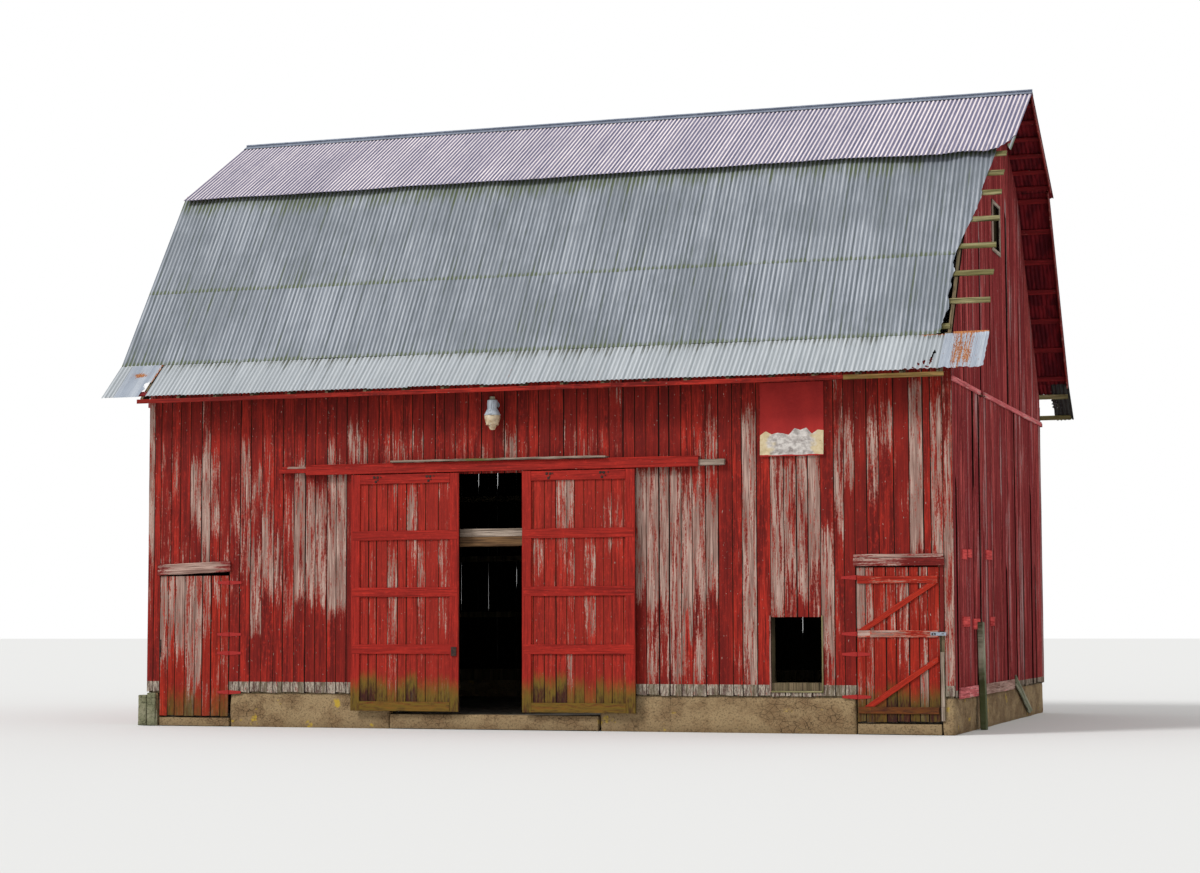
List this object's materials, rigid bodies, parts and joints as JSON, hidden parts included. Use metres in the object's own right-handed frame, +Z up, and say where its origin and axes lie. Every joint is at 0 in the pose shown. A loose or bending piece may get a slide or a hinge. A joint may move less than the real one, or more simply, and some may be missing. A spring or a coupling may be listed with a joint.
{
  "type": "barn",
  "caption": "Timber barn with a flared gambrel roof, a pair of sliding doors on a covered track, hinged side doors, a small wall opening and a lamp over the doorway.",
  "frame": {"origin": "ground level at the middle of the walls' outer faces, on the floor slab's underside", "axes": "+X along the front wall to the right as seen from the front, +Y into the barn's depth, +Z up"},
  "size_m": [13.376, 9.338, 9.6555],
  "materials": {
    "barn_red_boards": "worn paint",
    "bare_timber": "weathered",
    "weathered_roofing": "weathered",
    "rusty_iron": "rusty",
    "concrete": "rough",
    "lamp_metal": "dull",
    "lamp_glass": "clouded"
  },
  "bodies": {
    "barn": {"back_wall": "barn_red_boards", "barn_floor": "concrete", "corner_block": "concrete", "door_headers": "barn_red_boards", "door_sills": "concrete", "door_track": "rusty_iron", "doorway_beam": "bare_timber", "drip_strip": "bare_timber", "eave_fascias": "barn_red_boards", "eave_nailers": "bare_timber", "eave_patch_sheets": "rusty_iron", "eave_sheets": "weathered_roofing", "foundation_walls": "concrete", "front_wall": "barn_red_boards", "gable_belts": "barn_red_boards", "gable_foot_timber": "bare_timber", "gable_studs": "bare_timber", "lamp_housing": "lamp_metal", "lamp_lens": "lamp_glass", "left_gable_wall": "barn_red_boards", "lower_rafters": "bare_timber", "opening_trims": "bare_timber", "patch_panel": "barn_red_boards", "posts": "bare_timber", "purlin_posts": "bare_timber", "purlins": "bare_timber", "rafter_tails": "bare_timber", "rake_boards": "barn_red_boards", "ridge_cap": "weathered_roofing", "right_gable_wall": "barn_red_boards", "sill_beams": "bare_timber", "steep_nailers": "bare_timber", "steep_sheets": "weathered_roofing", "tie_beams": "bare_timber", "track_cover": "barn_red_boards", "upper_nailers": "bare_timber", "upper_rafters": "bare_timber", "upper_sheets": "weathered_roofing", "wall_girts": "bare_timber", "wall_hinge_leaves": "rusty_iron", "wall_plates": "bare_timber"},
    "left_sliding_door": {"left_sliding_boards": "barn_red_boards", "left_sliding_frame": "barn_red_boards", "left_sliding_hangers": "rusty_iron", "sliding_door_latch": "rusty_iron"},
    "right_sliding_door": {"right_sliding_boards": "barn_red_boards", "right_sliding_frame": "barn_red_boards", "right_sliding_hangers": "rusty_iron"},
    "left_side_door": {"left_side_door_boards": "barn_red_boards", "left_side_door_battens": "barn_red_boards", "left_side_door_straps": "rusty_iron"},
    "right_side_door": {"right_side_door_boards": "barn_red_boards", "right_side_door_battens": "barn_red_boards", "right_side_door_straps": "rusty_iron", "right_side_door_hasp": "rusty_iron"}
  },
  "joints": [
    {"name": "left_sliding_door_slide", "type": "slide", "parent": "barn", "child": "left_sliding_door", "axis": [1, 0, 0], "range_m": [-1.11, 0.483]},
    {"name": "right_sliding_door_slide", "type": "slide", "parent": "barn", "child": "right_sliding_door", "axis": [1, 0, 0], "range_m": [-0.483, 1.11]},
    {"name": "left_side_door_hinge", "type": "hinge", "parent": "barn", "child": "left_side_door", "pos_m": [-4.755, -4.209, 1.2], "axis": [0, 0, 1], "range_deg": [0, 120]},
    {"name": "right_side_door_hinge", "type": "hinge", "parent": "barn", "child": "right_side_door", "pos_m": [4.769, -4.209, 1.2], "axis": [0, 0, -1], "range_deg": [0, 120]}
  ]
}
